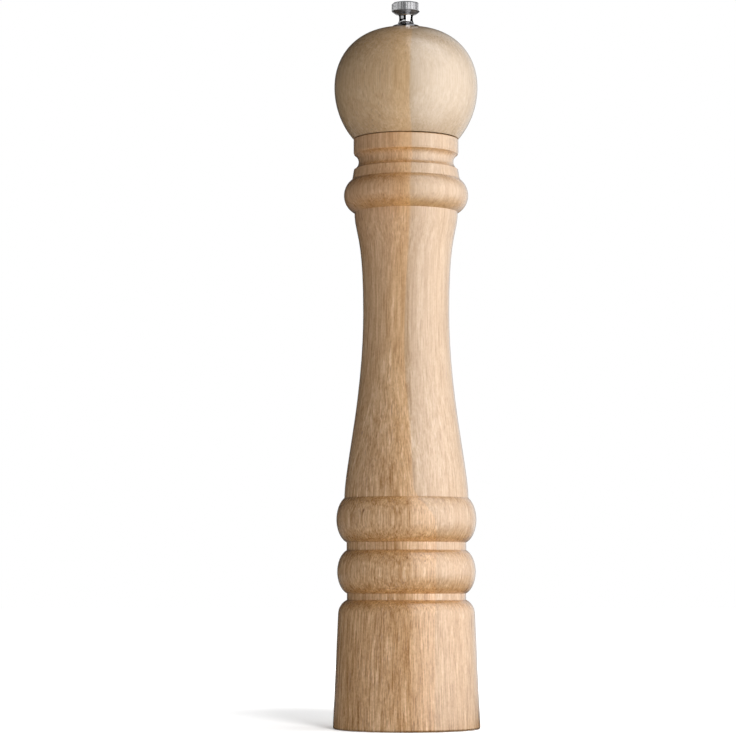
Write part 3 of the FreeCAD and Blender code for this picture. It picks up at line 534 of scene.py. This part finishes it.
def chrome(name, bright, other, crest_tone, groove_shade, underside_shade_tone, top_edge_shade_tone):
    """Polished plating, rougher on the knurled rim and on the underside, with painted shade in the
    knurl's grooves, on the underside and as a dark edge round the top.
    """
    g = Graph(bpy.data.materials.new(name))
    place = g.place()
    x, y, z = g.split(place)
    radius = g.hypot(x, y)
    normal_z = g.normal_z()
    fine = g.noise(place, *CHROME_FINE)
    tone = g.mix(g.span(g.noise(place, *CHROME_CLOUD), *TWO_TONES), bright, other)
    upright = g.span(g.calc("ABSOLUTE", normal_z), *UPRIGHT_FACE)
    rim = g.times(g.span(radius, *RIM_START), upright)
    # painted shade in the knurl's grooves, between the crests
    tone = g.mix(rim, tone, g.mix(g.span(radius, *KNURL_CREST), groove_shade, crest_tone))
    # painted shade: a dark line round the top edge of the rim
    lip = g.times(g.span(z, *LIP_HEIGHT), g.span(radius, *LIP_START))
    tone = g.mix(g.times(lip, g.span(normal_z, *LIP_SLOPE)), tone, top_edge_shade_tone)
    # painted shade: the knob's underside is dark and less metallic
    underside_shade = g.span(normal_z, *UNDERSIDE)
    tone = g.mix(underside_shade, tone, underside_shade_tone)
    sheen = g.add(g.line(fine, *POLISH), rim, RIM_ROUGHNESS)
    return g.surface(
        Base_Color=tone,
        Metallic=g.add(1.0, underside_shade, UNDERSIDE_METALLIC),
        Roughness=g.add(sheen, underside_shade, UNDERSIDE_ROUGHNESS),
        Normal=g.bump(fine, CHROME_RELIEF, FINISH_BUMP),
    )


# Plastics: noise as for wood, and ramps as the limits and the values there

PLASTIC_GRAIN = (even(2600), 2.0, 0.6)
PLASTIC_CLOUD = (even(120), 2.0)
PLASTIC_FLECKS = (0.55, 0.75, 0.0, 0.5)
PLASTIC_TONE = (0.3, 0.7, 0.95, 1.04)
PLASTIC_SPREAD = 0.07
PLASTIC_IOR = 1.53


def plastic(name, colour, fleck, rough, relief):
    """Moulded plastic with a fine grain."""
    g = Graph(bpy.data.materials.new(name))
    place = g.place()
    grain = g.noise(place, *PLASTIC_GRAIN)
    tone = g.mix(g.span(grain, *PLASTIC_FLECKS), colour, fleck)
    tone = g.shade(tone, g.line(g.noise(place, *PLASTIC_CLOUD), *PLASTIC_TONE))
    return g.surface(
        Base_Color=tone,
        Roughness=g.line(grain, *MIDDLE, rough - PLASTIC_SPREAD, rough + PLASTIC_SPREAD),
        Normal=g.bump(grain, relief, FINISH_BUMP),
        IOR=PLASTIC_IOR,
    )


# Each node takes the material of its slot in the record

materials = {
    "body_wood": body_wood,
    "head_wood": head_wood,
    "chrome": chrome(
        "chrome",
        bright=(0.78, 0.78, 0.79, 1.0),
        other=(0.72, 0.73, 0.75, 1.0),
        crest_tone=(0.72, 0.72, 0.73, 1.0),
        groove_shade=(0.10, 0.10, 0.105, 1.0),
        underside_shade_tone=(0.15, 0.15, 0.158, 1.0),
        top_edge_shade_tone=(0.06, 0.06, 0.065, 1.0),
    ),
    "plated_steel": metal(
        "plated_steel",
        colour=(0.60, 0.60, 0.57, 1.0),
        other=(0.50, 0.51, 0.53, 1.0),
        rough=0.32,
        spread=0.09,
        lines=(2200, 260, 2200),
        relief=0.01 * MM,
    ),
    "spring_steel": metal(
        "spring_steel",
        colour=(0.36, 0.36, 0.37, 1.0),
        other=(0.24, 0.23, 0.22, 1.0),
        rough=0.30,
        spread=0.10,
        lines=(1500, 1500, 3000),
        relief=0.01 * MM,
    ),
    "burr_steel": metal(
        "burr_steel",
        colour=(0.22, 0.22, 0.225, 1.0),
        other=(0.15, 0.145, 0.14, 1.0),
        rough=0.42,
        spread=0.12,
        lines=(700, 700, 4200),
        relief=0.02 * MM,
    ),
    "aluminium": metal(
        "aluminium",
        colour=(0.72, 0.72, 0.73, 1.0),
        other=(0.64, 0.65, 0.66, 1.0),
        rough=0.30,
        spread=0.08,
        lines=(3200, 3200, 40),
        relief=0.01 * MM,
    ),
    "white_nylon": plastic(
        "white_nylon",
        colour=(0.78, 0.77, 0.72, 1.0),
        fleck=(0.70, 0.68, 0.62, 1.0),
        rough=0.46,
        relief=0.02 * MM,
    ),
    "black_nylon": plastic(
        "black_nylon",
        colour=(0.018, 0.018, 0.019, 1.0),
        fleck=(0.05, 0.05, 0.05, 1.0),
        rough=0.48,
        relief=0.04 * MM,
    ),
}
slot_of = {row["node"]: row["material_slot"] for row in frame["record"]["subparts"]}
for name, obj in nodes.items():
    obj.data.materials.clear()
    obj.data.materials.append(materials[slot_of[name]])


# World: white where it is seen, and a low even light on the mill

AMBIENT = 0.118
BACKGROUND = 1.0

world = bpy.data.worlds.new("studio")
bpy.context.scene.world = world
sky = Graph(world, "OutputWorld")
backdrop = sky.node("MixShader")
sky.put(backdrop.inputs["Fac"], sky.seen())
sky.put(backdrop.inputs[1], sky.light("Background", AMBIENT))
sky.put(backdrop.inputs[2], sky.light("Background", BACKGROUND))
sky.put(sky.out, backdrop.outputs[0])


def stage_mesh(name, points, faces):
    """A mesh that belongs to the stage and not to the mill."""
    mesh = bpy.data.meshes.new(name)
    mesh.from_pydata(points, [], faces)
    obj = bpy.data.objects.new(name, mesh)
    bpy.context.scene.collection.objects.link(obj)
    return obj


# Floor: pale paper that glows towards white away from the mill, where it is seen

FLOOR_HALF = 6.0
FLOOR_CORNERS = ((-1, -1), (1, -1), (1, 1), (-1, 1))
FLOOR_SHADE = 0.88
FLOOR_BOUNCE = 0.52
GLOW_NEAR = 0.28
GLOW_FAR = 0.98
GLOW_REACH = (0.18, 0.36)
PAPER_GRAIN = (even(900), 2.0)
PAPER_TONE = (0.0, 1.0, 0.99, 1.01)

floor_points = [(FLOOR_HALF * x, FLOOR_HALF * y, 0) for x, y in FLOOR_CORNERS]
floor = stage_mesh("floor", floor_points, [(0, 1, 2, 3)])
paper = Graph(bpy.data.materials.new("paper"))
spot = paper.place()
spot_x, spot_y = paper.split(spot)[:2]
seen = paper.seen()
shade = paper.line(seen, 0.0, 1.0, FLOOR_BOUNCE, FLOOR_SHADE)
shade = paper.times(shade, paper.line(paper.noise(spot, *PAPER_GRAIN), *PAPER_TONE))
sheet = paper.node("BsdfDiffuse")
paper.put(sheet.inputs["Color"], paper.join(shade, shade, shade))
glow = paper.span(paper.hypot(spot_x, spot_y), *GLOW_REACH, GLOW_NEAR, GLOW_FAR)
both = paper.node("AddShader")
paper.put(both.inputs[0], sheet.outputs[0])
paper.put(both.inputs[1], paper.light("Emission", paper.times(seen, glow)))
paper.put(paper.out, both.outputs[0])
floor.data.materials.append(paper.owner)


# Lights: soft panels that mirrored rays don't see, and one lamp for the floor

AIM_HEIGHT = 0.19
# Cycles shares an area light's power over four times its area
POWER_SHARE = 4.0
FACING_DOWN = 0.0
UPRIGHT = 90.0
FACING_UP = 180.0


def around(azimuth, distance, height):
    """A point at an azimuth from the viewer's side towards +X, in degrees."""
    angle = math.radians(azimuth)
    return (distance * math.sin(angle), -distance * math.cos(angle), height)


def panel(name, azimuth, distance, height, width, tall, radiance, tilt=None):
    """A flat soft light that faces the mill, or has the given tilt in degrees from facing down."""
    data = bpy.data.lights.new(name, "AREA")
    data.shape = "RECTANGLE"
    data.size = width
    data.size_y = tall
    data.energy = radiance * POWER_SHARE * width * tall
    light = bpy.data.objects.new(name, data)
    bpy.context.scene.collection.objects.link(light)
    light.location = around(azimuth, distance, height)
    if tilt is None:
        tilt = UPRIGHT - math.degrees(math.atan2(height - AIM_HEIGHT, distance))
    light.rotation_euler = (math.radians(tilt), 0.0, math.radians(azimuth))
    light.visible_camera = False
    light.visible_glossy = False
    return light


panel("key", azimuth=45, distance=1.20, height=0.40, width=1.00, tall=0.80, radiance=3.3)
panel("fill", azimuth=-60, distance=1.20, height=0.15, width=1.20, tall=0.30, radiance=1.6)
panel("high_left_shade", azimuth=92, distance=0.60, height=1.60, width=0.70, tall=0.70, radiance=3.0)
panel("side", azimuth=122, distance=1.20, height=0.36, width=1.00, tall=0.72, radiance=2.15)
panel("back", azimuth=192, distance=1.20, height=0.60, width=0.90, tall=0.90, radiance=1.2)
panel(
    "bounce", azimuth=80, distance=0.42, height=0.002, width=0.60, tall=0.60, radiance=0.60,
    tilt=FACING_UP,
)
# the lamp falls on the floor alone, and the mill's shadow shows in its light
lamp = panel("lamp", azimuth=17, distance=0.95, height=0.80, width=0.20, tall=0.20, radiance=62.0)
lamp.light_linking.receiver_collection = bpy.data.collections.new("lit_by_lamp")
lamp.light_linking.receiver_collection.objects.link(floor)


# Room that all but the knob mirrors: ramps by azimuth in degrees, or by height or reach in metres

WALL_RADIUS = 1.35
CEILING_HEIGHT = 2.7
TABLE_HEIGHT = 0.0004
ROOM_STEPS = 96
BOX_EDGE = (3.0, 15.0, 0.0, 1.85)
BOX_RISE = (12.0, 66.0, 0.0, 1.0)
BOX_FALL = (78.0, 132.0, 1.0, 0.26)
BOX_END = (155.0, 178.0, 1.0, 0.0)
UPPER_SHARE = (60.0, 120.0, 1.0, 0.45)
WALL_UPPER = (0.9, CEILING_HEIGHT)
WALL_FOOT = (0.0, 0.35, 0.50, 0.0)
WALL_FOOT_END = (20.0, 42.0, 1.0, 0.0)
LEFT_GLOW_START = (-112.0, -92.0)
LEFT_GLOW_END = (-38.0, -18.0, 0.06, 0.0)
WALL_BASE = 0.03
CEILING_REACH = (0.2, WALL_RADIUS)
CEILING_MIDDLE = 0.45
CEILING_BASE = 0.04
TABLE_REACH = (0.35, WALL_RADIUS)
TABLE_SHARE = (55.0, 105.0, 0.85, 0.50)
TABLE_NEAR = (0.04, 0.45)
TABLE_BASE = 0.12


def soft_box(g, x, y):
    """The azimuth, and the level of the big panel on the right, which rises away from its near edge."""
    angle = g.calc("ARCTAN2", x, g.times(y, -1.0))
    azimuth = g.times(angle, 180.0 / math.pi)
    rise = g.calc("ADD", g.span(azimuth, *BOX_EDGE), g.line(azimuth, *BOX_RISE))
    fall = g.times(g.line(azimuth, *BOX_FALL), g.span(azimuth, *BOX_END))
    return azimuth, g.times(rise, fall)


def wall_level(g):
    """The panel, darker at its top and at its near foot, and a faint glow on the left."""
    x, y, z = g.split(g.place())
    azimuth, box = soft_box(g, x, y)
    box = g.times(box, g.line(z, *WALL_UPPER, 1.0, g.span(azimuth, *UPPER_SHARE)))
    foot = g.times(g.line(z, *WALL_FOOT), g.span(azimuth, *WALL_FOOT_END))
    box = g.times(box, g.calc("SUBTRACT", 1.0, foot))
    left = g.times(g.span(azimuth, *LEFT_GLOW_START), g.span(azimuth, *LEFT_GLOW_END))
    return g.calc("ADD", g.calc("ADD", box, left), WALL_BASE)


def ceiling_level(g):
    """The panel's light on the ceiling, fainter in the middle."""
    x, y = g.split(g.place())[:2]
    azimuth, box = soft_box(g, x, y)
    share = g.line(g.hypot(x, y), *CEILING_REACH, CEILING_MIDDLE, g.span(azimuth, *UPPER_SHARE))
    return g.add(CEILING_BASE, box, share)


def table_level(g):
    """The panel's light on the table, dark close to the mill."""
    x, y = g.split(g.place())[:2]
    azimuth, box = soft_box(g, x, y)
    reach = g.hypot(x, y)
    share = g.span(reach, *TABLE_REACH, g.span(azimuth, *TABLE_SHARE), 1.0)
    near = g.times(g.span(reach, *TABLE_NEAR), share)
    return g.times(g.calc("ADD", box, TABLE_BASE), near)


def mirrored(obj, level):
    """Makes a stage mesh that only mirrored rays see, as bright as level(graph) says."""
    g = Graph(bpy.data.materials.new(obj.name))
    g.put(g.out, g.light("Emission", level(g)))
    obj.data.materials.append(g.owner)
    obj.visible_camera = False
    obj.visible_diffuse = False
    obj.visible_shadow = False
    obj.visible_transmission = False
    obj.visible_volume_scatter = False


def ring_at(height):
    """Points round the room at a height."""
    return [around(360.0 * i / ROOM_STEPS, WALL_RADIUS, height) for i in range(ROOM_STEPS)]


wall_faces = []
for i in range(ROOM_STEPS):
    after = (i + 1) % ROOM_STEPS
    wall_faces.append((i, after, ROOM_STEPS + after, ROOM_STEPS + i))
wall = stage_mesh("studio_wall", ring_at(0.0) + ring_at(CEILING_HEIGHT), wall_faces)
mirrored(wall, wall_level)
ceiling = stage_mesh("studio_ceiling", ring_at(CEILING_HEIGHT), [tuple(range(ROOM_STEPS))])
mirrored(ceiling, ceiling_level)
table = stage_mesh("studio_table", ring_at(TABLE_HEIGHT), [tuple(range(ROOM_STEPS))])
mirrored(table, table_level)


# The polished knob mirrors panels of its own, and all else mirrors the room

room = bpy.data.collections.new("mirrors_room")
polished = bpy.data.collections.new("mirrors_panels")
for name, obj in nodes.items():
    (polished if name == "knob" else room).objects.link(obj)
for card in (wall, ceiling, table):
    card.light_linking.receiver_collection = room
knob_panels = (
    panel(
        "knob_key", azimuth=43, distance=0.90, height=0.80, width=1.42, tall=1.90, radiance=2.0,
        tilt=UPRIGHT,
    ),
    panel(
        "knob_top", azimuth=0, distance=0.0, height=1.30, width=1.80, tall=1.80, radiance=0.75,
        tilt=FACING_DOWN,
    ),
    panel("knob_left", azimuth=-63, distance=0.90, height=0.42, width=0.90, tall=0.50, radiance=0.42),
    panel("knob_rear", azimuth=190, distance=0.90, height=0.45, width=0.80, tall=0.70, radiance=0.80),
)
for light in knob_panels:
    light.visible_glossy = True
    light.visible_diffuse = False
    light.light_linking.receiver_collection = polished


# Camera, as found from the photograph, with its focal length in pixels of the frame

FOCAL_PX = 2768.4
FRAME_PX = 736.0
SENSOR_WIDTH = 36.0
CAMERA_PLACE = (0.0, -1.3416, 0.070)
CAMERA_TILT = 94.443
CAMERA_TURN = 0.793
NEAREST = 0.05
FARTHEST = 50.0

camera_data = bpy.data.cameras.new("camera")
camera_data.sensor_width = SENSOR_WIDTH
camera_data.lens = SENSOR_WIDTH * FOCAL_PX / FRAME_PX
camera_data.clip_start = NEAREST
camera_data.clip_end = FARTHEST
camera = bpy.data.objects.new("camera", camera_data)
bpy.context.scene.collection.objects.link(camera)
camera.location = CAMERA_PLACE
camera.rotation_euler = (math.radians(CAMERA_TILT), 0.0, math.radians(CAMERA_TURN))
bpy.context.scene.camera = camera

bpy.context.scene.view_settings.view_transform = "Standard"
